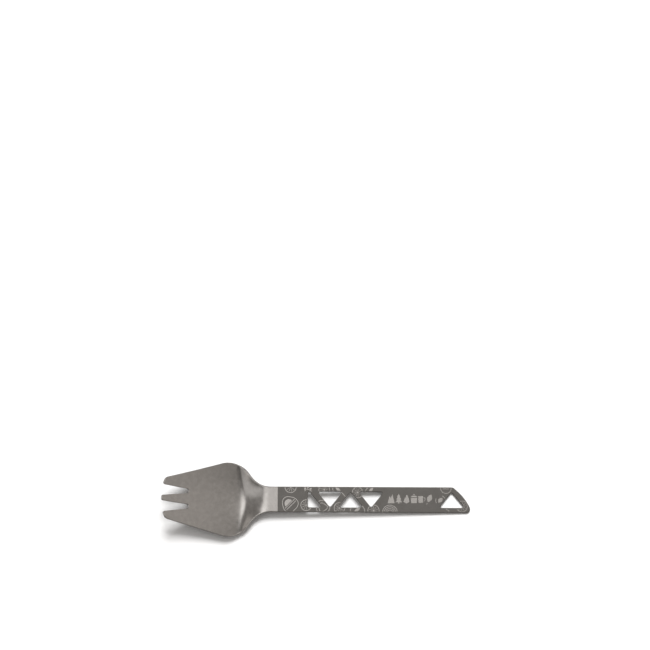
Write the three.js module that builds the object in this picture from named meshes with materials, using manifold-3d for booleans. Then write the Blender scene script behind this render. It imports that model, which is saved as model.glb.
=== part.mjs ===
// Picnic spork: one sheet of titanium, cut to its outline and pressed in one die.
// The bowl end carries three tines, the handle is pierced by a row of triangles.
// Millimetres, +Z up. +X runs from the tines to the handle's end. The origin is on
// the table, under the middle of the overall length, with the open bowl facing up.

import * as THREE from 'three';
import { mergeVertices } from 'three/addons/utils/BufferGeometryUtils.js';
import Module from 'manifold-3d';

const wasm = await Module();
wasm.setup();

const { degToRad, lerp, smoothstep } = THREE.MathUtils;

// Overall sizes
const OVERALL_LENGTH = 165;
const BOWL_LENGTH = 51.5;
const BOWL_WIDTH = 39.8;
const HANDLE_WIDTH = 13.7;
const SHEET_THICKNESS = 1.2;

// Bowl outline
const FLANK_ANGLE = 52.4;
const NECK_RADIUS = 13.2;
const SHOULDER_RADIUS = 12.9;

// Tines, measured at the tips and at the roots of the two slots between them
const MIDDLE_TINE_TIP_WIDTH = 2.84;
const MIDDLE_TINE_ROOT_WIDTH = 6.2;
const SLOT_TIP_WIDTH = 5.83;
const SLOT_ROOT_WIDTH = 2.1;
const SLOT_DEPTH = 13.8;
const OUTER_TINE_TIP_WIDTH = 3.65;
const OUTER_TINE_SETBACK = 0.5;
const OUTER_TINE_SLANT = 1.4;
const TINE_TIP_RADIUS = 0.9;
const OUTER_TINE_RADIUS = 2.6;
const SLOT_ROOT_RADIUS = 0.95;

// Slanted end of the handle
const END_SLANT_LENGTH = 9.06;
const END_UPPER_ANGLE = 41.5;
const END_LOWER_ANGLE = 64.5;
const END_UPPER_RADIUS = 1.5;
const END_BELLY_RADIUS = 26;
const END_LOWER_RADIUS = 2;

// Triangular windows and the hanging hole
const RAIL_WIDTH = 2.6;
const STRUT_WIDTH = 3.22;
const WINDOW_BASE = 13.8;
const WINDOW_RADIUS = 0.8;
const WINDOW_COUNT = 3;
const HALF_WINDOW_BASE = 7.85;
const WINDOWS_AFTER_NECK = 26.2;
const HOLE_FROM_END = 9.9;

// Press form along the centre line, as slopes of the sheet
const TIP_SLOPE = -0.44;
const BOWL_FLOOR_SLOPE = -0.15;
const NECK_SLOPE = 0.367;
const FOLD_BEFORE_NECK = 10.5;
const FOLD_LENGTH = 4.3;
const NECK_RAMP_LENGTH = 7.6;
const NECK_BEND_LENGTH = 4;

// Press form across the sheet, as radii
const BOWL_CROSS_RADIUS = 80;
const NECK_CROSS_RADIUS = 28;
const TROUGH_START_BEFORE_NECK = 12;
const TROUGH_PEAK_BEFORE_NECK = 2;

// Fineness of the faceted solid
const BOWL_STEP = 4;
const FOLD_STEP = 0.9;
const CROSS_STEP = 2.6;
const BLANK_MARGIN = 1.5;
const CURVE_SEGMENTS = 6;

// Stations along the length
const tipX = -OVERALL_LENGTH / 2;
const endX = OVERALL_LENGTH / 2;
const neckX = tipX + BOWL_LENGTH;
const foldStartX = neckX - FOLD_BEFORE_NECK;
const rampStartX = foldStartX + FOLD_LENGTH;
const rampEndX = rampStartX + NECK_RAMP_LENGTH;
const handleStartX = rampEndX + NECK_BEND_LENGTH;

// The bowl's back touches the table where the slope changes sign. The handle's slope
// brings the handle's end down to the same table.
const footX = lerp(foldStartX, rampStartX, BOWL_FLOOR_SLOPE / (BOWL_FLOOR_SLOPE - NECK_SLOPE));
const riseToHandle = NECK_SLOPE * ((rampStartX - footX) / 2 + NECK_RAMP_LENGTH + NECK_BEND_LENGTH / 2);
const handleSlope = -riseToHandle / (NECK_BEND_LENGTH / 2 + endX - handleStartX);

const slopeStations = [
  { x: tipX, slope: TIP_SLOPE },
  { x: foldStartX, slope: BOWL_FLOOR_SLOPE },
  { x: rampStartX, slope: NECK_SLOPE },
  { x: rampEndX, slope: NECK_SLOPE },
  { x: handleStartX, slope: handleSlope },
  { x: endX, slope: handleSlope },
];

function slopeAt(x) {
  let right = slopeStations.findIndex((station, i) => i > 0 && station.x >= x);
  if (right < 0) right = slopeStations.length - 1;
  const a = slopeStations[right - 1];
  const b = slopeStations[right];
  return lerp(a.slope, b.slope, (x - a.x) / (b.x - a.x));
}

// The slope is linear between stations, so the trapezoid rule gives the exact height.
function centreHeight(x) {
  const low = Math.min(x, footX);
  const high = Math.max(x, footX);
  const passed = slopeStations.map((station) => station.x).filter((stop) => stop > low && stop < high);
  const stops = [low, ...passed, high];
  let rise = 0;
  for (let i = 1; i < stops.length; i++) {
    rise += (slopeAt(stops[i - 1]) + slopeAt(stops[i])) / 2 * (stops[i] - stops[i - 1]);
  }
  return SHEET_THICKNESS / 2 + (x < footX ? -rise : rise);
}

function crossCurvature(x) {
  const peakX = neckX - TROUGH_PEAK_BEFORE_NECK;
  const deepen = smoothstep(x, neckX - TROUGH_START_BEFORE_NECK, peakX);
  const flatten = smoothstep(x, peakX, handleStartX);
  return lerp(1 / BOWL_CROSS_RADIUS, 1 / NECK_CROSS_RADIUS, deepen) * (1 - flatten);
}

// Middle surface of the sheet, moved along its normal by a signed distance.
function sheetPoint(x, y, offset) {
  const h = 1e-4;
  const curvatureRate = (crossCurvature(x + h) - crossCurvature(x - h)) / (2 * h);
  const slopeX = slopeAt(x) + curvatureRate * y * y / 2;
  const slopeY = crossCurvature(x) * y;
  const height = centreHeight(x) + crossCurvature(x) * y * y / 2;
  const normal = new THREE.Vector3(-slopeX, -slopeY, 1).normalize();
  return new THREE.Vector3(x, y, height).addScaledVector(normal, offset);
}

function evenSteps(from, to, step) {
  const count = Math.ceil((to - from) / step);
  return Array.from({ length: count + 1 }, (_, i) => lerp(from, to, i / count));
}

// Pressed sheet before trimming: a closed slab a little larger than the outline.
function pressedSlab() {
  const xs = [
    ...evenSteps(tipX - BLANK_MARGIN, neckX - TROUGH_START_BEFORE_NECK, BOWL_STEP).slice(0, -1),
    ...evenSteps(neckX - TROUGH_START_BEFORE_NECK, foldStartX, FOLD_STEP).slice(0, -1),
    ...evenSteps(foldStartX, rampStartX, FOLD_STEP).slice(0, -1),
    ...evenSteps(rampStartX, rampEndX, FOLD_STEP).slice(0, -1),
    ...evenSteps(rampEndX, handleStartX, FOLD_STEP),
    endX + BLANK_MARGIN,
  ];
  const sideY = BOWL_WIDTH / 2 + BLANK_MARGIN;
  const ys = evenSteps(-sideY, sideY, CROSS_STEP);
  const positions = [];
  for (const offset of [SHEET_THICKNESS / 2, -SHEET_THICKNESS / 2]) {
    for (const x of xs) {
      for (const y of ys) positions.push(...sheetPoint(x, y, offset).toArray());
    }
  }
  const vertex = (side, i, j) => (side * xs.length + i) * ys.length + j;
  const triangles = [];
  const quad = (a, b, c, d) => triangles.push(a, b, c, a, c, d);
  for (let i = 0; i < xs.length - 1; i++) {
    for (let j = 0; j < ys.length - 1; j++) {
      quad(vertex(0, i, j), vertex(0, i + 1, j), vertex(0, i + 1, j + 1), vertex(0, i, j + 1));
      quad(vertex(1, i, j), vertex(1, i, j + 1), vertex(1, i + 1, j + 1), vertex(1, i + 1, j));
    }
  }
  const lastX = xs.length - 1;
  const lastY = ys.length - 1;
  for (let i = 0; i < lastX; i++) {
    quad(vertex(1, i, 0), vertex(1, i + 1, 0), vertex(0, i + 1, 0), vertex(0, i, 0));
    quad(vertex(0, i, lastY), vertex(0, i + 1, lastY), vertex(1, i + 1, lastY), vertex(1, i, lastY));
  }
  for (let j = 0; j < lastY; j++) {
    quad(vertex(0, 0, j), vertex(0, 0, j + 1), vertex(1, 0, j + 1), vertex(1, 0, j));
    quad(vertex(1, lastX, j), vertex(1, lastX, j + 1), vertex(0, lastX, j + 1), vertex(0, lastX, j));
  }
  const geometry = new THREE.BufferGeometry();
  geometry.setAttribute('position', new THREE.Float32BufferAttribute(positions, 3));
  geometry.setIndex(triangles);
  return geometry;
}

// Closed path through corners, each rounded by its own radius where the edges have room.
function roundedPath(corners, path) {
  const points = corners.map(([x, y]) => new THREE.Vector2(x, y));
  const count = corners.length;
  const at = (i) => points[(i + count) % count];
  const rounds = points.map((corner, i) => {
    const before = at(i - 1).clone().sub(corner);
    const after = at(i + 1).clone().sub(corner);
    const halfAngle = Math.acos(before.clone().normalize().dot(after.clone().normalize())) / 2;
    const wanted = corners[i][2] / Math.tan(halfAngle);
    return { corner, before, after, halfAngle, wanted };
  });
  rounds.forEach((round, i) => {
    const share = (other, edge) => Math.min(1, edge.length() / (round.wanted + other.wanted));
    const previous = rounds[(i - 1 + count) % count];
    const next = rounds[(i + 1) % count];
    const room = Math.min(share(previous, round.before), share(next, round.after));
    const reach = round.wanted * room;
    const radius = reach * Math.tan(round.halfAngle);
    const start = round.corner.clone().addScaledVector(round.before.clone().normalize(), reach);
    const end = round.corner.clone().addScaledVector(round.after.clone().normalize(), reach);
    const middle = start.clone().add(end).divideScalar(2).sub(round.corner).normalize();
    const centre = round.corner.clone().addScaledVector(middle, radius / Math.sin(round.halfAngle));
    const from = Math.atan2(start.y - centre.y, start.x - centre.x);
    const to = Math.atan2(end.y - centre.y, end.x - centre.x);
    const clockwise = round.before.cross(round.after) > 0;
    if (i === 0) path.moveTo(start.x, start.y);
    path.absarc(centre.x, centre.y, radius, from, to, clockwise);
  });
  path.closePath();
  return path;
}

// Upper half of the bowl's outline, from the middle tine's tip to the neck.
function bowlCorners() {
  const middleTip = MIDDLE_TINE_TIP_WIDTH / 2;
  const middleRoot = MIDDLE_TINE_ROOT_WIDTH / 2;
  const slotTip = middleTip + SLOT_TIP_WIDTH;
  const slotRoot = middleRoot + SLOT_ROOT_WIDTH;
  const outerTipX = tipX + OUTER_TINE_SETBACK;
  const outerCorner = new THREE.Vector2(outerTipX + OUTER_TINE_SLANT, slotTip + OUTER_TINE_TIP_WIDTH);
  const neck = new THREE.Vector2(neckX, HANDLE_WIDTH / 2);

  // The shoulder's round touches the flank, the widest line and the side.
  const flank = degToRad(FLANK_ANGLE);
  const centreY = BOWL_WIDTH / 2 - SHOULDER_RADIUS;
  const centreX = neck.x - (SHOULDER_RADIUS + (centreY - neck.y) * Math.cos(flank)) / Math.sin(flank);
  const toCentre = new THREE.Vector2(centreX, centreY).sub(outerCorner);
  const side = toCentre.angle() + Math.asin(SHOULDER_RADIUS / toCentre.length());
  const shoulder = crossing(outerCorner, side, neck, Math.PI - flank);

  return [
    [tipX, middleTip, TINE_TIP_RADIUS],
    [tipX + SLOT_DEPTH, middleRoot, SLOT_ROOT_RADIUS],
    [tipX + SLOT_DEPTH, slotRoot, SLOT_ROOT_RADIUS],
    [outerTipX, slotTip, TINE_TIP_RADIUS],
    [outerCorner.x, outerCorner.y, OUTER_TINE_RADIUS],
    [shoulder.x, shoulder.y, SHOULDER_RADIUS],
    [neck.x, neck.y, NECK_RADIUS],
  ];
}

// Point where a line through p at angle a meets a line through q at angle b.
function crossing(p, a, q, b) {
  const along = new THREE.Vector2(Math.cos(a), Math.sin(a));
  const across = new THREE.Vector2(-Math.sin(b), Math.cos(b));
  const distance = q.clone().sub(p).dot(across) / along.dot(across);
  return p.clone().addScaledVector(along, distance);
}

function handleEndCorners() {
  const edgeY = HANDLE_WIDTH / 2;
  const upper = degToRad(END_UPPER_ANGLE);
  const lower = degToRad(END_LOWER_ANGLE);
  const cornerReach = END_LOWER_RADIUS / Math.tan(lower / 2);
  const lowerCorner = new THREE.Vector2(endX - END_LOWER_RADIUS + cornerReach, -edgeY);
  const upperCorner = new THREE.Vector2(endX - END_SLANT_LENGTH, edgeY);
  const belly = crossing(upperCorner, -upper, lowerCorner, Math.PI - lower);
  return [
    [upperCorner.x, upperCorner.y, END_UPPER_RADIUS],
    [belly.x, belly.y, END_BELLY_RADIUS],
    [lowerCorner.x, lowerCorner.y, END_LOWER_RADIUS],
  ];
}

// Windows leave a rail along each edge of the handle and slanted struts between them.
const windowHalfHeight = HANDLE_WIDTH / 2 - RAIL_WIDTH;
const windowSide = Math.atan2(2 * windowHalfHeight, WINDOW_BASE / 2);
const windowPitch = WINDOW_BASE / 2 + STRUT_WIDTH / Math.sin(windowSide);
const halfWindowX = neckX + WINDOWS_AFTER_NECK;
const firstApexX = halfWindowX + HALF_WINDOW_BASE - WINDOW_BASE / 2 + windowPitch;

function triangleWindow(apexX, up) {
  const tip = up * windowHalfHeight;
  return roundedPath([
    [apexX, tip, WINDOW_RADIUS],
    [apexX - WINDOW_BASE / 2, -tip, WINDOW_RADIUS],
    [apexX + WINDOW_BASE / 2, -tip, WINDOW_RADIUS],
  ], new THREE.Path());
}

function halfWindow() {
  const topY = HALF_WINDOW_BASE * Math.tan(windowSide) - windowHalfHeight;
  return roundedPath([
    [halfWindowX, topY, WINDOW_RADIUS],
    [halfWindowX, -windowHalfHeight, WINDOW_RADIUS],
    [halfWindowX + HALF_WINDOW_BASE, -windowHalfHeight, WINDOW_RADIUS],
  ], new THREE.Path());
}

// Flat blank with its windows, as a tall prism that trims the pressed slab.
function blankPrism() {
  const upperHalf = bowlCorners();
  const lowerHalf = upperHalf.map(([x, y, radius]) => [x, -y, radius]).reverse();
  const outline = roundedPath([...upperHalf, ...handleEndCorners(), ...lowerHalf].reverse(), new THREE.Shape());
  outline.holes.push(halfWindow());
  for (let i = 0; i < WINDOW_COUNT; i++) {
    outline.holes.push(triangleWindow(firstApexX + i * windowPitch, i % 2 === 0 ? -1 : 1));
  }
  outline.holes.push(triangleWindow(endX - HOLE_FROM_END, 1));
  const depth = 2 * OVERALL_LENGTH;
  const prism = new THREE.ExtrudeGeometry(outline, { depth, bevelEnabled: false, curveSegments: CURVE_SEGMENTS });
  return prism.translate(0, 0, -depth / 2);
}

function solidOf(geometry) {
  geometry.deleteAttribute('normal');
  geometry.deleteAttribute('uv');
  const merged = mergeVertices(geometry);
  const vertProperties = new Float32Array(merged.attributes.position.array);
  const triVerts = new Uint32Array(merged.index.array);
  return new wasm.Manifold(new wasm.Mesh({ numProp: 3, vertProperties, triVerts }));
}

function geometryOf(solid) {
  const { vertProperties, triVerts } = solid.getMesh();
  const geometry = new THREE.BufferGeometry();
  geometry.setAttribute('position', new THREE.BufferAttribute(vertProperties, 3));
  geometry.setIndex(new THREE.BufferAttribute(triVerts, 1));
  geometry.computeVertexNormals();
  return geometry;
}

const titanium = new THREE.MeshStandardMaterial({
  color: 0x8a8680,
  roughness: 0.5,
  metalness: 0.9,
  flatShading: true,
});

const sheet = solidOf(pressedSlab()).intersect(solidOf(blankPrism()));
const spork = new THREE.Mesh(geometryOf(sheet), titanium);
spork.name = 'spork';

const group = new THREE.Group();
group.add(spork);

export default group;
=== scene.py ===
import math

import bpy
import numpy as np
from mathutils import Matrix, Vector
from mathutils.geometry import delaunay_2d_cdt


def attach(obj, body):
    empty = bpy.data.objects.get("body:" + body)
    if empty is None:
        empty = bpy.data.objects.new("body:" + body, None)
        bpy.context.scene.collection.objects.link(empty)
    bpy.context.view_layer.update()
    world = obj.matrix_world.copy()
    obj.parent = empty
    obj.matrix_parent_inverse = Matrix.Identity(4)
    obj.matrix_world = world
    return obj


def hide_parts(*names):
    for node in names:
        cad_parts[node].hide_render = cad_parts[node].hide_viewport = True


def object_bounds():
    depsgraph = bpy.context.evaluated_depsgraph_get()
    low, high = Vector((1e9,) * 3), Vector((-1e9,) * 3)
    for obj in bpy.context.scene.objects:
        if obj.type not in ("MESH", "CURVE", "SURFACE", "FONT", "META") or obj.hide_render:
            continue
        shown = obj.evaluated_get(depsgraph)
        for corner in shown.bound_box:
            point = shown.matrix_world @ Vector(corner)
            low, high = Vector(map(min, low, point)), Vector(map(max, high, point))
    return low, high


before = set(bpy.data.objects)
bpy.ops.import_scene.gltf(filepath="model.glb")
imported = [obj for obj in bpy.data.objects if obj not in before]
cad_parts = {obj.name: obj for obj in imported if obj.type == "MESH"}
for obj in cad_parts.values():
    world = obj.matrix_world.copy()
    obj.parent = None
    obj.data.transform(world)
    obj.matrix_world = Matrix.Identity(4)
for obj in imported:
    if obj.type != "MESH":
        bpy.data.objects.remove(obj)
cad_low, cad_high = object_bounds()

# A picnic spork of bead-blasted titanium, lying face up on a pale table. The spork's lengths are
# in millimetres until the press tree turns them into metres. The table and light are in metres.


# ------------------------------------------------------------------ the sheet
# The whole utensil is one sheet of titanium 1.2 mm thick. It is cut to its outline with the
# triangular windows, tumbled until its edges are round, blasted, and pressed in one die.

MM = 0.001
THICKNESS = 1.2
EDGE_RADIUS = 0.38
BOWL_LENGTH = 51.5
HANDLE_WIDTH = 13.7
COAT_AFTER_NECK = 10.1
tip_x = cad_low.x / MM
end_x = cad_high.x / MM
bowl_width = (cad_high.y - cad_low.y) / MM
neck_x = tip_x + BOWL_LENGTH
coat_start = neck_x + COAT_AFTER_NECK

FLANK_ANGLE = math.radians(52.4)
NECK_RADIUS = 13.2
SHOULDER_RADIUS = 12.9
MIDDLE_TINE_TIP = 2.84
MIDDLE_TINE_ROOT = 6.2
SLOT_TIP = 5.83
SLOT_ROOT = 2.1
SLOT_DEPTH = 13.8
OUTER_TINE_TIP = 3.65
OUTER_TINE_SETBACK = 0.5
OUTER_TINE_SLANT = 1.4
END_SLANT_LENGTH = 9.06
END_UPPER_ANGLE = math.radians(41.5)
END_LOWER_ANGLE = math.radians(64.5)
END_LOWER_RADIUS = 2.0
END_UPPER_RADIUS = 1.5
END_BELLY_RADIUS = 26
TINE_RADIUS = 0.9
SLOT_ROOT_RADIUS = 0.95
OUTER_TINE_RADIUS = 2.6

RAIL_WIDTH = 2.6
STRUT_WIDTH = 3.22
WINDOW_BASE = 13.8
WINDOW_RADIUS = 0.8
HALF_WINDOW_BASE = 7.85
WINDOWS_AFTER_NECK = 26.2
WINDOW_COUNT = 3
HOLE_FROM_END = 9.9

# Fineness of the mesh, the room kept along its cut lines and the coat's edge, how close two
# points are taken as one, and the turn between faces that shows as a crease.
CHORD = 0.6
FLAT_STEP = 0.8
EDGE_POINTS = 5
RIM_CLEARANCE = 0.5 * FLAT_STEP
SEAM_CLEARANCE = 0.3 * FLAT_STEP
SEAM_TOLERANCE = 1e-4
MERGE_DISTANCE = 1e-6
CREASE_ANGLE = math.radians(40)


def crossing(p, a, q, b):
    """Point where the line through p at angle a meets the line through q at angle b."""
    along = Vector((math.cos(a), math.sin(a)))
    across = Vector((-math.sin(b), math.cos(b)))
    return p + along * ((q - p).dot(across) / along.dot(across))


def rounded(corners, chord):
    """Closed loop of points through corners (x, y, radius), no further apart than a chord."""
    arcs = []
    for i, (x, y, radius) in enumerate(corners):
        corner = Vector((x, y))
        before = (Vector(corners[i - 1][:2]) - corner).normalized()
        after = (Vector(corners[(i + 1) % len(corners)][:2]) - corner).normalized()
        if radius == 0:
            arcs.append(corner)
            continue
        half = before.angle(after) / 2
        centre = corner + (before + after).normalized() * (radius / math.sin(half))
        start = corner + before * (radius / math.tan(half)) - centre
        end = corner + after * (radius / math.tan(half)) - centre
        turn = math.pi - 2 * half
        steps = max(3, math.ceil(radius * turn / chord))
        for k in range(steps + 1):
            swept = turn * k / steps
            blend = start * math.sin(turn - swept) + end * math.sin(swept)
            arcs.append(centre + blend / math.sin(turn))
    loop = []
    for here, after in zip(arcs, arcs[1:] + arcs[:1]):
        steps = max(1, math.ceil((after - here).length / chord))
        loop += [here.lerp(after, k / steps) for k in range(steps)]
    return np.array(loop)


def blank_loops(chord):
    """The blank's cut lines: the outline, then each window, with metal on their left."""
    middle_tip = MIDDLE_TINE_TIP / 2
    middle_root = MIDDLE_TINE_ROOT / 2
    slot_tip = middle_tip + SLOT_TIP
    root_x = tip_x + SLOT_DEPTH
    outer_x = tip_x + OUTER_TINE_SETBACK
    outer = Vector((outer_x + OUTER_TINE_SLANT, slot_tip + OUTER_TINE_TIP))
    edge_y = HANDLE_WIDTH / 2
    neck = Vector((neck_x, edge_y))
    round_y = bowl_width / 2 - SHOULDER_RADIUS
    past_flank = SHOULDER_RADIUS + (round_y - edge_y) * math.cos(FLANK_ANGLE)
    to_round = Vector((neck_x - past_flank / math.sin(FLANK_ANGLE), round_y)) - outer
    side_angle = math.atan2(to_round.y, to_round.x) + math.asin(SHOULDER_RADIUS / to_round.length)
    shoulder = crossing(outer, side_angle, neck, math.pi - FLANK_ANGLE)
    upper = [
        (tip_x, middle_tip, TINE_RADIUS),
        (root_x, middle_root, SLOT_ROOT_RADIUS),
        (root_x, middle_root + SLOT_ROOT, SLOT_ROOT_RADIUS),
        (outer_x, slot_tip, TINE_RADIUS),
        (outer.x, outer.y, OUTER_TINE_RADIUS),
        (shoulder.x, shoulder.y, SHOULDER_RADIUS),
        (neck.x, neck.y, NECK_RADIUS),
        (coat_start, edge_y, 0),
    ]
    corner_reach = END_LOWER_RADIUS / math.tan(END_LOWER_ANGLE / 2)
    end_low = Vector((end_x - END_LOWER_RADIUS + corner_reach, -edge_y))
    end_high = Vector((end_x - END_SLANT_LENGTH, edge_y))
    belly = crossing(end_high, -END_UPPER_ANGLE, end_low, math.pi - END_LOWER_ANGLE)
    end = [
        (*end_high, END_UPPER_RADIUS),
        (*belly, END_BELLY_RADIUS),
        (*end_low, END_LOWER_RADIUS),
    ]
    lower = [(x, -y, radius) for x, y, radius in reversed(upper)]
    outline = rounded((upper + end + lower)[::-1], chord)

    half_height = edge_y - RAIL_WIDTH
    side = math.atan2(2 * half_height, WINDOW_BASE / 2)
    pitch = WINDOW_BASE / 2 + STRUT_WIDTH / math.sin(side)
    start = neck_x + WINDOWS_AFTER_NECK
    base_end = start + HALF_WINDOW_BASE
    half_top = HALF_WINDOW_BASE * math.tan(side) - half_height
    windows = [[(start, half_top), (base_end, -half_height), (start, -half_height)]]
    first = base_end - WINDOW_BASE / 2 + pitch
    apexes = [(first + pitch * k, 1 if k % 2 else -1) for k in range(WINDOW_COUNT)]
    for apex, up in apexes + [(end_x - HOLE_FROM_END, 1)]:
        foot = WINDOW_BASE / 2 * up
        windows.append([
            (apex, half_height * up),
            (apex + foot, -half_height * up),
            (apex - foot, -half_height * up),
        ])
    return [outline] + [rounded([(*c, WINDOW_RADIUS) for c in w], chord) for w in windows]


def inset(loop, distance):
    """The loop moved towards the metal on its left."""
    ahead = np.roll(loop, -1, axis=0) - loop
    ahead /= np.linalg.norm(ahead, axis=1)[:, None]
    left = np.stack([-ahead[:, 1], ahead[:, 0]], axis=1)
    both = left + np.roll(left, 1, axis=0)
    return loop + both * (2 * distance / (both ** 2).sum(axis=1))[:, None]


def inside(points, loops):
    """True for each point that an odd number of loops surrounds."""
    odd = np.zeros(len(points), bool)
    for loop in loops:
        for (x0, y0), (x1, y1) in zip(loop, np.roll(loop, -1, axis=0)):
            if y0 != y1:
                beyond = points[:, 0] < x0 + (points[:, 1] - y0) * (x1 - x0) / (y1 - y0)
                odd ^= ((points[:, 1] < y0) != (points[:, 1] < y1)) & beyond
    return odd


def plate(loops):
    """Flat sheet with round edges: points, faces. Its two sides share one triangulation."""
    turns = np.linspace(0, math.pi / 2, EDGE_POINTS)
    upper_edge = [(EDGE_RADIUS * (1 - math.sin(t)), EDGE_RADIUS * (1 - math.cos(t))) for t in turns]
    upper_edge = [(2 * EDGE_RADIUS, 0)] + upper_edge
    rings = [(d, THICKNESS / 2 - drop) for d, drop in upper_edge]
    rings += [(d, drop - THICKNESS / 2) for d, drop in reversed(upper_edge)]

    border = [inset(loop, 2 * EDGE_RADIUS) for loop in loops]
    rim_count = sum(len(loop) for loop in loops)
    rim = np.concatenate(border)
    grid_x = np.arange(tip_x, end_x, FLAT_STEP)
    grid_y = np.arange(-bowl_width / 2, bowl_width / 2, FLAT_STEP)
    grid = np.stack(np.meshgrid(grid_x, grid_y, indexing="ij"), axis=-1).reshape(-1, 2)
    grid = grid[inside(grid, border)]
    room = np.array([((rim - p) ** 2).sum(axis=1).min() for p in grid])
    grid = grid[room > RIM_CLEARANCE ** 2]
    grid = grid[abs(grid[:, 0] - coat_start) > SEAM_CLEARANCE]

    starts = np.cumsum([0] + [len(loop) for loop in loops])
    outlines = [list(range(a, b)) for a, b in zip(starts.tolist(), starts.tolist()[1:])]
    flat = np.concatenate([rim, grid])
    seam = [int(i) for i in np.flatnonzero(abs(rim[:, 0] - coat_start) < SEAM_TOLERANCE)]
    cut = delaunay_2d_cdt([Vector(p) for p in flat], [seam], outlines, 0, MERGE_DISTANCE, True)
    source = [ids[0] for ids in cut[3]]
    metal = [tri for tri, owners in zip(cut[2], cut[5]) if len(owners) == len(loops)]
    triangles = [[source[i] for i in tri] for tri in metal]

    ring_points = [np.concatenate([inset(loop, d) for loop in loops]) for d, z in rings]
    points = [np.column_stack([ring, np.full(rim_count, z)]) for ring, (d, z) in zip(ring_points, rings)]
    for z in (THICKNESS / 2, -THICKNESS / 2):
        points.append(np.column_stack([grid, np.full(len(grid), z)]))
    last = (len(rings) - 1) * rim_count
    top_grid = len(rings) * rim_count - rim_count
    bottom_grid = top_grid + len(grid)
    faces = [[i if i < rim_count else top_grid + i for i in t] for t in triangles]
    faces += [[last + i if i < rim_count else bottom_grid + i for i in t[::-1]] for t in triangles]
    for outline in outlines:
        for a, b in zip(outline, outline[1:] + outline[:1]):
            for k in range(0, last, rim_count):
                faces.append([k + a, k + rim_count + a, k + rim_count + b, k + b])
    return np.concatenate(points), faces


class Wire:
    """An output socket used like a number or vector: each operator adds its own node."""

    def __init__(self, tree, socket=None):
        self.tree = tree
        self.socket = socket

    def add(self, kind, settings=None, inputs=None, output=0):
        """Adds a node: its settings first, then the values or links of its sockets."""
        node = self.tree.nodes.new(kind)
        for name, value in (settings or {}).items():
            setattr(node, name, value)
        for name, value in (inputs or {}).items():
            if isinstance(value, Wire):
                self.tree.links.new(value.socket, node.inputs[name])
            else:
                node.inputs[name].default_value = value
        return Wire(self.tree, node.outputs[output] if len(node.outputs) else None)

    def into(self, socket):
        """Links this output to an input socket."""
        self.tree.links.new(self.socket, socket)

    def math(self, operation, *values):
        return self.add("ShaderNodeMath", {"operation": operation}, dict(enumerate(values)))

    def vector(self, operation, *values):
        return self.add("ShaderNodeVectorMath", {"operation": operation}, dict(enumerate(values)))

    def scaled(self, factor):
        """The vector times one number."""
        return self.add("ShaderNodeVectorMath", {"operation": "SCALE"}, {0: self, "Scale": factor})

    def __add__(self, other):
        return self.math("ADD", self, other)

    def __sub__(self, other):
        return self.math("SUBTRACT", self, other)

    def __rsub__(self, other):
        return self.math("SUBTRACT", other, self)

    def __mul__(self, other):
        return self.math("MULTIPLY", self, other)

    def __truediv__(self, other):
        return self.math("DIVIDE", self, other)

    __radd__ = __add__
    __rmul__ = __mul__


# Slopes of the pressed sheet along its middle line, and its radii across.
TIP_SLOPE = -0.44
FLOOR_SLOPE = -0.15
NECK_SLOPE = 0.367
FOLD_BEFORE_NECK = 10.5
FOLD_LENGTH = 4.3
RAMP_LENGTH = 7.6
BEND_LENGTH = 4.0
BOWL_CROSS_RADIUS = 80
NECK_CROSS_RADIUS = 28
TROUGH_START_BEFORE_NECK = 12
TROUGH_PEAK_BEFORE_NECK = 2


def press_sizes():
    """Sizes of the die, by the names that the press tree gives its inputs."""
    fold_start = neck_x - FOLD_BEFORE_NECK
    fold_end = fold_start + FOLD_LENGTH
    handle_start = fold_end + RAMP_LENGTH + BEND_LENGTH
    foot = fold_start + FOLD_LENGTH * FLOOR_SLOPE / (FLOOR_SLOPE - NECK_SLOPE)
    rise = NECK_SLOPE * ((fold_end - foot) / 2 + RAMP_LENGTH + BEND_LENGTH / 2)
    # The die is centred on the spork's length, so its far end mirrors the tip.
    die_end = -tip_x
    return {
        "Sheet thickness": THICKNESS,
        "Tip": tip_x,
        "Fold start": fold_start,
        "Foot": foot,
        "Fold end": fold_end,
        "Ramp end": fold_end + RAMP_LENGTH,
        "Handle start": handle_start,
        "Tip slope": TIP_SLOPE,
        "Floor slope": FLOOR_SLOPE,
        "Neck slope": NECK_SLOPE,
        "Handle slope": -rise / (BEND_LENGTH / 2 + die_end - handle_start),
        "Trough start": neck_x - TROUGH_START_BEFORE_NECK,
        "Trough peak": neck_x - TROUGH_PEAK_BEFORE_NECK,
        "Bowl curvature": 1 / BOWL_CROSS_RADIUS,
        "Neck curvature": 1 / NECK_CROSS_RADIUS,
    }


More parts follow.
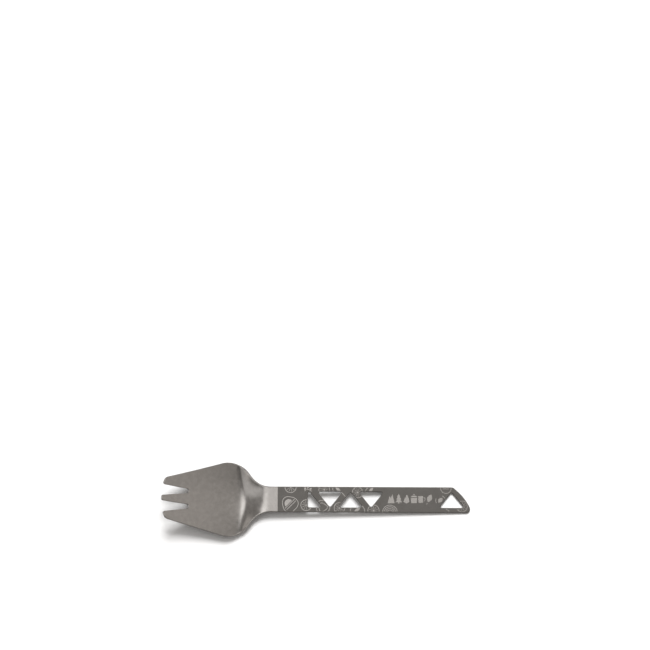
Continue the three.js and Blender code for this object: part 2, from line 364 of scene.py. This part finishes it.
def press_tree(sizes):
    """Geometry Nodes that press a flat sheet in millimetres to its form in metres."""
    tree = bpy.data.node_groups.new("press a flat sheet", "GeometryNodeTree")
    sockets = {"Geometry": "NodeSocketGeometry", **{name: "NodeSocketFloat" for name in sizes}}
    sockets["Material"] = "NodeSocketMaterial"
    for name, kind in sockets.items():
        tree.interface.new_socket(name, in_out="INPUT", socket_type=kind)
    tree.interface.new_socket("Geometry", in_out="OUTPUT", socket_type="NodeSocketGeometry")
    group = tree.nodes.new("NodeGroupInput")
    die = {name: Wire(tree, group.outputs[name]) for name in sockets}
    nodes = Wire(tree)
    place = nodes.add("GeometryNodeInputPosition")
    x, y, offset = (nodes.add("ShaderNodeSeparateXYZ", {}, {0: place}, i) for i in range(3))

    # The slope is linear between stations, so each change of curvature adds a square.
    fold = (die["Neck slope"] - die["Floor slope"]) / (die["Fold end"] - die["Fold start"])
    bend = (die["Handle slope"] - die["Neck slope"]) / (die["Handle start"] - die["Ramp end"])
    panel = (die["Floor slope"] - die["Tip slope"]) / (die["Fold start"] - die["Tip"])
    height = die["Sheet thickness"] * 0.5
    slope = x * 0
    for station, side, change in (
        ("Foot", 1, fold),
        ("Fold end", 1, fold * -1),
        ("Ramp end", 1, bend),
        ("Handle start", 1, bend * -1),
        ("Foot", -1, fold),
        ("Fold start", -1, panel - fold),
    ):
        past = x.math("MAXIMUM", (x - die[station]) * side, 0.0)
        height = height + change * past * past * 0.5
        slope = slope + change * past * side

    def curvature(at):
        """Curvature across the sheet, at a place along it."""
        settings = {"interpolation_type": "SMOOTHSTEP"}
        names = ("Trough start", "Trough peak", "Bowl curvature", "Neck curvature")
        stations = [at] + [die[name] for name in names]
        deepen = nodes.add("ShaderNodeMapRange", settings, dict(enumerate(stations)))
        ends = [at, die["Trough peak"], die["Handle start"], 1.0, 0.0]
        return deepen * nodes.add("ShaderNodeMapRange", settings, dict(enumerate(ends)))

    reach = 0.05
    across = curvature(x)
    change = (curvature(x + reach) - curvature(x - reach)) / (2 * reach)
    slope_x = slope + change * y * y * 0.5
    slope_y = across * y
    surface = nodes.add("ShaderNodeCombineXYZ", {}, {0: x, 1: y, 2: height + across * y * y * 0.5})
    normal = nodes.add("ShaderNodeCombineXYZ", {}, {0: slope_x * -1, 1: slope_y * -1, 2: 1.0})
    moved = nodes.vector("NORMALIZE", normal).scaled(offset)
    metres = nodes.vector("ADD", surface, moved).scaled(MM)
    flat_sheet = die["Geometry"]
    pressed = nodes.add("GeometryNodeSetPosition", {}, {"Geometry": flat_sheet, "Position": metres})
    whole = nodes.add("GeometryNodeRealizeInstances", {}, {"Geometry": pressed})
    done = nodes.add("GeometryNodeSetMaterial", {}, {"Geometry": whole, "Material": die["Material"]})
    done.into(tree.nodes.new("NodeGroupOutput").inputs[0])
    return tree


def add_nodes(piece, tree, values):
    """Puts a tree on a piece as a modifier, and sets its inputs by their identifiers."""
    modifier = piece.modifiers.new(tree.name, "NODES")
    modifier.node_group = tree
    for item in tree.interface.items_tree:
        if item.in_out == "INPUT" and item.name in values:
            modifier[item.identifier] = values[item.name]


def finish_mesh(piece):
    """Makes the evaluated piece a plain mesh, smooth except at its creases."""
    graph = bpy.context.evaluated_depsgraph_get()
    mesh = bpy.data.meshes.new_from_object(piece.evaluated_get(graph))
    piece.modifiers.clear()
    piece.data = mesh
    mesh.name = piece.name
    mesh.shade_smooth()
    mesh.set_sharp_from_angle(angle=CREASE_ANGLE)


def new_piece(name, points, faces, edges=()):
    """A new object in the scene, with a mesh of these points, faces and loose edges."""
    mesh = bpy.data.meshes.new(name)
    mesh.from_pydata(points, edges, faces)
    piece = bpy.data.objects.new(name, mesh)
    bpy.context.scene.collection.objects.link(piece)
    return piece


def shader(name):
    """A new material, its tree as a Wire, and its Principled shader."""
    material = bpy.data.materials.new(name)
    material.use_nodes = True
    return material, Wire(material.node_tree), material.node_tree.nodes["Principled BSDF"]


def mixed_colours(tree, factor, first, second):
    """From the first colour at factor 0 to the second at 1."""
    settings = {"data_type": "RGBA", "clamp_factor": True}
    return tree.add("ShaderNodeMix", settings, {0: factor, 6: first, 7: second}, 2)


def speckled(name, dark, light, grain, patches, grain_share, roughness, bump, metallic):
    """A finish whose colour and roughness vary with fine grain and soft patches.

    grain and patches are scale and detail, roughness is least and rise over the patches, and
    bump is strength and distance in metres.
    """
    material, tree, principled = shader(name)
    least, rise = roughness
    strength, distance = bump
    spot = tree.add("ShaderNodeTexCoord", {}, {}, "Object")
    fine, soft = (
        tree.add("ShaderNodeTexNoise", {}, {"Vector": spot, "Scale": scale, "Detail": detail})
        for scale, detail in (grain, patches)
    )
    tone = fine * grain_share + soft * (1 - grain_share)
    colour = mixed_colours(tree, (tone - TONE_START) * TONE_CONTRAST, dark, light)
    colour.into(principled.inputs["Base Color"])
    (soft * rise + least).into(principled.inputs["Roughness"])
    dents = {"Strength": strength, "Distance": distance, "Height": fine}
    tree.add("ShaderNodeBump", {}, dents).into(principled.inputs["Normal"])
    principled.inputs["Metallic"].default_value = metallic
    return material


# Noise stays near its middle, so its tones are spread before they mix two colours.
TONE_START = 0.36
TONE_CONTRAST = 3.5

# Blasting leaves an even satin with a fine grain and faint cloudy patches.
titanium = speckled(
    "titanium",
    dark=(0.53, 0.506, 0.483, 1),
    light=(0.63, 0.602, 0.575, 1),
    grain=(3500.0, 2.0),
    patches=(450.0, 4.0),
    grain_share=0.45,
    roughness=(0.19, 0.08),
    bump=(0.25, 0.00002),
    metallic=1.0,
)

points, faces = plate(blank_loops(CHORD))
sizes = press_sizes()
press = press_tree(sizes)
sheet = new_piece("titanium_sheet", points, faces)
add_nodes(sheet, press, {**sizes, "Material": titanium})
finish_mesh(sheet)
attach(sheet, "root")
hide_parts("spork")


# ------------------------------------------------------------------ the handle's coat
# A thin dark grey coat bonded to the handle, all round, from a masked line across the neck.
# The line art is cut through it, so that bare titanium shows in the lines.

COAT = 0.03
coat = speckled(
    "handle coat",
    dark=(0.115, 0.108, 0.1, 1),
    light=(0.135, 0.128, 0.119, 1),
    grain=(2600.0, 2.0),
    patches=(220.0, 3.0),
    grain_share=0.5,
    roughness=(0.5, 0.1),
    bump=(0.15, 0.00001),
    metallic=0.3,
)

# The drawings, on the flat blank: cut fruit, herbs, and a row of camping signs. A spoke's ends
# and the core's radius are shares of the slice's radius, and each slice turns from the last.
CUT_DEPTH = 0.6
CUTTER_LIFT = 0.1
LINE_WIDTH = 0.33
SLICE_RADIUS = 2.9
SLICE_SEGMENTS = 10
RIND_POINTS = 40
CORE_POINTS = 12
SLICE_TURN = 1.7
SPOKE_WIDTH = 0.18
SPOKE_START = 0.25
SPOKE_END = 0.84
CORE_RADIUS = 0.17
SIGN_MIDDLE = 0.55
SIGN_PITCH = 4.1
FIRST_SIGN = 40.0


def arc(x, y, radius, start, end, flat=1.0):
    """Points of an arc from start to end degrees, its height scaled by flat."""
    steps = max(4, math.ceil(abs(end - start) * radius / 20))
    turns = [math.radians(start + (end - start) * k / steps) for k in range(steps + 1)]
    return [(x + radius * math.cos(t), y + radius * flat * math.sin(t)) for t in turns]


def lobed(x, y, radius, lobes, depth, turn=0):
    """Closed ring of points whose radius swells and shrinks by depth, once for each lobe."""
    ring = []
    steps = 48
    for k in range(steps):
        t = 2 * math.pi * k / steps
        reach = radius * (1 + depth * math.cos(lobes * (t - math.radians(turn))))
        ring.append((x + reach * math.cos(t), y + reach * math.sin(t)))
    return ring


def leaf(x, y, length, width, degrees):
    """Closed pointed oval, its length turned by degrees from +X."""
    along = Vector((math.cos(math.radians(degrees)), math.sin(math.radians(degrees))))
    across = Vector((-along.y, along.x))
    steps = 8
    sides = [(k / steps, 1) for k in range(steps)]
    sides += [(1 - k / steps, -1) for k in range(steps)]
    places = [(t - 0.5, side * math.sin(math.pi * t) / 2) for t, side in sides]
    return [tuple(Vector((x, y)) + along * length * a + across * width * b) for a, b in places][::-1]


def drawn_lines(name, open_paths, closed_paths):
    """A helper of loose edges, one chain to each path."""
    spots = []
    edges = []
    for paths, closed in ((open_paths, False), (closed_paths, True)):
        for path in paths:
            first = len(spots)
            spots.extend((x, y, 0) for x, y in path)
            edges.extend((k, k + 1) for k in range(first, len(spots) - 1))
            if closed:
                edges.append((len(spots) - 1, first))
    return new_piece(name, spots, [], edges)


def drawn_shapes(name, outlines, depth):
    """A helper of closed prisms, one to each counter-clockwise outline."""
    spots = []
    sides = []
    for outline in outlines:
        first = len(spots)
        count = len(outline)
        spots.extend((x, y, depth / 2) for x, y in outline)
        spots.extend((x, y, -depth / 2) for x, y in outline)
        sides.append([first + k for k in range(count)])
        sides.append([first + count + k for k in reversed(range(count))])
        for k in range(count):
            after = (k + 1) % count
            sides.append([first + k, first + count + k, first + count + after, first + after])
    return new_piece(name, spots, sides)


fruit_flesh = arc(-14.9, -2.2, 2.3, 45, 225)
open_paths = [
    [(-16.9, -4.9), (-11.9, 0.1)],
    [(-16.1, -5.7), (-11.1, -0.7)],
    [(-6.5, 4.6), (-5.0, 5.6), (-2.6, 4.4)],
    arc(9.4, 5.7, 0.9, 120, 240),
    [(13.2, 4.0), (14.6, 2.6), (15.5, 1.4)],
    arc(21.9, -6.5, 3.9, -10, 60),
    arc(21.9, -6.5, 3.9, 130, 190),
    arc(28.5, 4.2, 2.3, 110, 190),
    arc(66.6, -0.3, 2.6, 155, 215),
    arc(66.6, -0.3, 2.6, 20, 70),
    [(67.9, 6.0), (71.3, 6.0)],
    [(69.4, -4.8), (71.3, -6.1)],
]
open_paths += [arc(39.3, -6.9, 0.6 + 0.85 * k, -10, 190) for k in range(1, 5)]
closed_paths = [
    lobed(-14.3, -2.6, 4.2, 3, 0.07, 15),
    lobed(3.3, -4.2, 3.6, 3, 0.06),
    lobed(3.3, -4.2, 2.2, 3, 0.14),
    lobed(69.6, 6.4, 2.85, 1, 0),
]
shapes = [
    fruit_flesh,
    leaf(-6.2, 5.9, 1.9, 0.9, 80),
    leaf(-4.6, 6.6, 1.7, 0.9, 60),
    leaf(-3.2, 5.7, 1.7, 0.9, 20),
    leaf(11.5, 5.4, 3.6, 1.5, -38),
    leaf(21.7, -5.5, 4.4, 1.5, 35),
    leaf(29.3, 5.4, 3.0, 1.5, 40),
    leaf(66.5, -0.1, 3.6, 2.2, 45),
]
half_pine = [
    (0.35, -2.6),
    (0.35, -1.9),
    (1.8, -1.9),
    (0.75, -0.4),
    (1.4, -0.4),
    (0.5, 1.1),
    (0.95, 1.1),
]
peaks = [(-1.9, -2.4), (1.9, -2.4), (0.7, 2.5), (-0.1, 0.3), (-0.8, 1.4)]
flame = [(0, -2.6), (1.6, -1.6), (1.3, 0.4), (0.2, 2.6), (-0.3, 0.9), (-0.9, 0.3), (-1.6, -1.6)]
signs = [
    [peaks],
    [half_pine + [(0, 2.6)] + [(-x, y) for x, y in reversed(half_pine)]],
    [[tuple(p) for p in rounded([(x, y, 0.25) for x, y in flame], 0.3)]],
    [
        [(-1.5, -2.3), (1.5, -2.3), (1.7, 0.5), (-1.7, 0.5)],
        [(-1.8, 0.9), (1.8, 0.9), (1.1, 1.7), (-1.1, 1.7)],
        [(-0.4, 2.0), (0.4, 2.0), (0.4, 2.6), (-0.4, 2.6)],
    ],
    [[(-1.7, -2.1), (0.7, -2.1), (0.8, 1.5), (-1.8, 1.5)]],
    [leaf(0.2, 0.3, 4.6, 2.6, 65)],
]
for k, sign in enumerate(signs):
    middle = FIRST_SIGN + SIGN_PITCH * k
    shapes += [[(middle + x, SIGN_MIDDLE + y) for x, y in outline] for outline in sign]
mug_side = FIRST_SIGN + SIGN_PITCH * 4 + 1.0
open_paths.append(arc(mug_side, SIGN_MIDDLE - 0.2, 0.95, -88, 88))
leaf_foot = FIRST_SIGN + SIGN_PITCH * 5 - 1.0
open_paths.append([(leaf_foot - 0.5, SIGN_MIDDLE - 3.0), (leaf_foot, SIGN_MIDDLE - 2.3)])

slices = [
    (-14.0, 6.6, 3.0),
    (-5.6, -3.1, 2.9),
    (4.1, 5.2, 2.9),
    (12.2, -4.5, 2.85),
    (22.0, 3.85, 2.85),
    (30.5, -5.9, 3.05),
    (78.1, -3.4, 2.9),
]


def drawing_tree(values):
    """Geometry Nodes that cut lines, filled shapes and citrus slices through a flat coat."""
    tree = bpy.data.node_groups.new("cut drawings through a coat", "GeometryNodeTree")
    kinds = {float: "NodeSocketFloat", int: "NodeSocketInt"}
    tree.interface.new_socket("Geometry", in_out="INPUT", socket_type="NodeSocketGeometry")
    for name, value in values.items():
        kind = kinds.get(type(value), "NodeSocketObject")
        tree.interface.new_socket(name, in_out="INPUT", socket_type=kind)
    tree.interface.new_socket("Geometry", in_out="OUTPUT", socket_type="NodeSocketGeometry")
    group = tree.nodes.new("NodeGroupInput")
    given = {name: Wire(tree, group.outputs[name]) for name in ["Geometry", *values]}
    flat_coat = given["Geometry"]
    nodes = Wire(tree)

    def shape_of(name):
        """The geometry of a helper object."""
        return nodes.add("GeometryNodeObjectInfo", {}, {"Object": given[name]}, "Geometry")

    def ribbon(curve, width):
        """A bar of rectangular section along a flat curve."""
        upright = nodes.add("GeometryNodeSetCurveNormal", {"mode": "Z_UP"}, {"Curve": curve})
        bar = {"Width": width, "Height": given["Cut depth"]}
        section = nodes.add("GeometryNodeCurvePrimitiveQuadrilateral", {}, bar)
        return nodes.add(
            "GeometryNodeCurveToMesh",
            {},
            {"Curve": upright, "Profile Curve": section, "Fill Caps": True},
        )

    def joined(parts):
        """All the parts as one geometry."""
        whole = nodes.add("GeometryNodeJoinGeometry")
        for part in parts:
            part.into(whole.socket.node.inputs[0])
        return whole

    radius = given["Slice radius"]
    ring = {"Resolution": RIND_POINTS, "Radius": radius}
    rind = nodes.add("GeometryNodeCurvePrimitiveCircle", {}, ring, "Curve")
    spoke_start = nodes.add("ShaderNodeCombineXYZ", {}, {0: radius * SPOKE_START})
    spoke_end = nodes.add("ShaderNodeCombineXYZ", {}, {0: radius * SPOKE_END})
    ends = {"Start": spoke_start, "End": spoke_end}
    spoke = nodes.add("GeometryNodeCurvePrimitiveLine", {}, ends, "Curve")
    count = given["Slice segments"]
    turn = nodes.add("GeometryNodeInputIndex") * (2 * math.pi) / count
    turned = nodes.add("ShaderNodeCombineXYZ", {}, {2: turn})
    hub = nodes.add("GeometryNodePoints", {}, {"Count": count})
    spokes = nodes.add(
        "GeometryNodeInstanceOnPoints",
        {},
        {"Points": hub, "Instance": ribbon(spoke, given["Spoke width"]), "Rotation": turned},
    )
    core = nodes.add(
        "GeometryNodeMeshCylinder",
        {},
        {"Vertices": CORE_POINTS, "Radius": radius * CORE_RADIUS, "Depth": given["Cut depth"]},
        "Mesh",
    )
    one_slice = joined([ribbon(rind, given["Line width"]), spokes, core])
    size = nodes.add("GeometryNodeInputNamedAttribute", {"data_type": "FLOAT"}, {"Name": "slice size"})
    spun = nodes.add("ShaderNodeCombineXYZ", {}, {2: nodes.add("GeometryNodeInputIndex") * SLICE_TURN})
    scaled = nodes.add("ShaderNodeCombineXYZ", {}, {0: size, 1: size, 2: 1.0})
    placed = nodes.add(
        "GeometryNodeInstanceOnPoints",
        {},
        {"Points": shape_of("Slices"), "Instance": one_slice, "Rotation": spun, "Scale": scaled},
    )
    chains = nodes.add("GeometryNodeMeshToCurve", {}, {"Mesh": shape_of("Lines")})
    drawn = joined([placed, ribbon(chains, given["Line width"]), shape_of("Shapes")])
    real = nodes.add("GeometryNodeRealizeInstances", {}, {"Geometry": drawn})
    raised = nodes.add("ShaderNodeCombineXYZ", {}, {2: given["Sheet thickness"] * 0.5 + CUTTER_LIFT})
    cutter = nodes.add("GeometryNodeTransform", {}, {"Geometry": real, "Translation": raised})
    settings = {"operation": "DIFFERENCE", "solver": "MANIFOLD"}
    cut = nodes.add("GeometryNodeMeshBoolean", settings, {0: flat_coat, 1: cutter})
    cut.into(tree.nodes.new("NodeGroupOutput").inputs[0])
    return tree


handle_faces = [f for f in faces if points[f, 0].min() > coat_start - SEAM_TOLERANCE]
skin = new_piece("handle_coat", points, handle_faces)
solidify = skin.modifiers.new("coat thickness", "SOLIDIFY")
solidify.thickness = COAT
solidify.offset = 1
solidify.use_even_offset = True

slice_places = new_piece("slice places", [(x, y, 0) for x, y, radius in slices], [])
slice_size = slice_places.data.attributes.new("slice size", "FLOAT", "POINT")
for place, (x, y, radius) in zip(slice_size.data, slices):
    place.value = radius / SLICE_RADIUS
drawings = {
    "Lines": drawn_lines("lines", open_paths, closed_paths),
    "Shapes": drawn_shapes("shapes", shapes, CUT_DEPTH),
    "Slices": slice_places,
    "Sheet thickness": THICKNESS,
    "Cut depth": CUT_DEPTH,
    "Line width": LINE_WIDTH,
    "Spoke width": SPOKE_WIDTH,
    "Slice radius": SLICE_RADIUS,
    "Slice segments": SLICE_SEGMENTS,
}
add_nodes(skin, drawing_tree(drawings), drawings)
add_nodes(skin, press, {**sizes, "Material": coat})
finish_mesh(skin)
for name in ("Lines", "Shapes", "Slices"):
    bpy.data.objects.remove(drawings[name])
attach(skin, "root")


# ------------------------------------------------------------------ the table and the light
# A table top that is white to look at and grey in reflections, the grey being painted shade for the
# metal's rims to reflect;
# one lamp behind the handle, and a dim warm room with soft bright panels, which the bare metal reflects
# and the camera doesn't see.

TABLE_HALF = 1.2
TABLE_WHITE = (0.9, 0.9, 0.9, 1)
TABLE_PAINTED_SHADE_IN_REFLECTIONS = (0.22, 0.22, 0.22, 1)
TABLE_ROUGHNESS = 0.8
TABLE_GLOSS = 0.1
table_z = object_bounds()[0].z
quarters = [(-1, -1), (1, -1), (1, 1), (-1, 1)]
corners = [(x * TABLE_HALF, y * TABLE_HALF, table_z) for x, y in quarters]
floor = new_piece("table_top", corners, [range(4)])
table_finish, table_tree, table_shader = shader("white table top")
# In glossy rays the table turns grey: painted shade that darkens the reflections in the metal's rounded
# rims.
mirrored = table_tree.add("ShaderNodeLightPath", {}, {}, "Is Glossy Ray")
shown = mixed_colours(table_tree, mirrored, TABLE_WHITE, TABLE_PAINTED_SHADE_IN_REFLECTIONS)
shown.into(table_shader.inputs["Base Color"])
table_shader.inputs["Roughness"].default_value = TABLE_ROUGHNESS
table_shader.inputs["Specular IOR Level"].default_value = TABLE_GLOSS
floor.data.materials.append(table_finish)

LAMP_DIRECTION = Vector((0.06, 0.6, 0.8))
LAMP_DISTANCE = 3.0
LAMP_SPREAD = math.radians(14)
LAMP_RADIANCE = 19.4
lamp_radius = LAMP_DISTANCE * math.tan(LAMP_SPREAD)
light = bpy.data.lights.new("lamp", "AREA")
light.shape = "DISK"
light.size = 2 * lamp_radius
light.energy = LAMP_RADIANCE * math.pi * math.pi * lamp_radius ** 2
lamp = bpy.data.objects.new("lamp", light)
bpy.context.scene.collection.objects.link(lamp)
lamp.location = LAMP_DIRECTION.normalized() * LAMP_DISTANCE
lamp.rotation_euler = LAMP_DIRECTION.to_track_quat("Z", "Y").to_euler()
lamp.visible_camera = False
lamp.visible_glossy = False

# Radiances of the room. A place in the sky is the direction towards it: X is to the right, Y
# ahead and Z above. Each wall changes over a range of one of them.
LEFT_WALL = 0.21
RIGHT_WALL = 0.44
SIDE_RANGE = (0.0, 0.5)
FRONT_LOSS = 0.06
FRONT_RANGE = (-0.15, 0.05)
HORIZON_GAIN = 0.30
HORIZON_RANGE = (0.38, 0.46)
WALL_TINT = (1.0, 0.96, 0.92)
DIFFUSE_GAIN = 0.05
BORDER_RANGE = (0.7, 1.15)
PANELS = (
    # middle, half width and half height, radiance
    ((-0.18, 0.20), (0.40, 0.23), 0.76),
    ((-0.25, 0.27), (0.26, 0.16), 0.42),
    ((-0.72, -0.15), (0.34, 0.19), 0.50),
)

world = bpy.data.worlds.new("room")
bpy.context.scene.world = world
world.use_nodes = True
sky = Wire(world.node_tree)
toward = sky.add("ShaderNodeTexCoord", {}, {}, "Generated")
right, ahead, above = (sky.add("ShaderNodeSeparateXYZ", {}, {0: toward}, i) for i in range(3))


def ramp(value, over, low, high):
    """Smooth step of a value, from low at the start of its range to high at the end."""
    settings = {"interpolation_type": "SMOOTHSTEP"}
    limits = {0: value, 1: over[0], 2: over[1], 3: low, 4: high}
    return sky.add("ShaderNodeMapRange", settings, limits)


def soft_panel(middle, half, radiance):
    """Radiance that an oval panel with a soft border adds, by its place in the sky."""
    across = (right - middle[0]) / half[0]
    along = (ahead - middle[1]) / half[1]
    away = sky.math("SQRT", across * across + along * along)
    return ramp(away, BORDER_RANGE, radiance, 0.0)


walls = ramp(right, SIDE_RANGE, LEFT_WALL, RIGHT_WALL)
walls = walls - ramp(ahead, FRONT_RANGE, FRONT_LOSS, 0.0)
walls = walls + ramp(above, HORIZON_RANGE, HORIZON_GAIN, 0.0)
panels = right * 0
for middle, half, radiance in PANELS:
    panels = panels + soft_panel(middle, half, radiance)
seen = sky.add("ShaderNodeLightPath", {}, {}, "Is Camera Ray")
diffuse = sky.add("ShaderNodeLightPath", {}, {}, "Is Diffuse Ray")
gain = (1 + diffuse * DIFFUSE_GAIN) * (1 - seen)
shades = [seen + (walls * tint + panels) * gain for tint in WALL_TINT]
shade = sky.add("ShaderNodeCombineXYZ", {}, dict(enumerate(shades)))
shade.into(world.node_tree.nodes["Background"].inputs["Color"])

VIEW_ELEVATION = math.radians(83)
VIEW_DISTANCE = 0.9773
VIEW_ASIDE = 0.0045
VIEW_TILT = math.atan(0.09714)
LENS = 100
camera = bpy.data.objects.new("camera", bpy.data.cameras.new("camera"))
camera.data.lens = LENS
bpy.context.scene.collection.objects.link(camera)
bpy.context.scene.camera = camera
back = Vector((0, -math.cos(VIEW_ELEVATION), math.sin(VIEW_ELEVATION)))
camera.location = back * VIEW_DISTANCE + Vector((VIEW_ASIDE, 0, 0))
camera.rotation_euler = (math.pi / 2 - VIEW_ELEVATION + VIEW_TILT, 0, 0)
bpy.context.scene.view_settings.view_transform = "Standard"
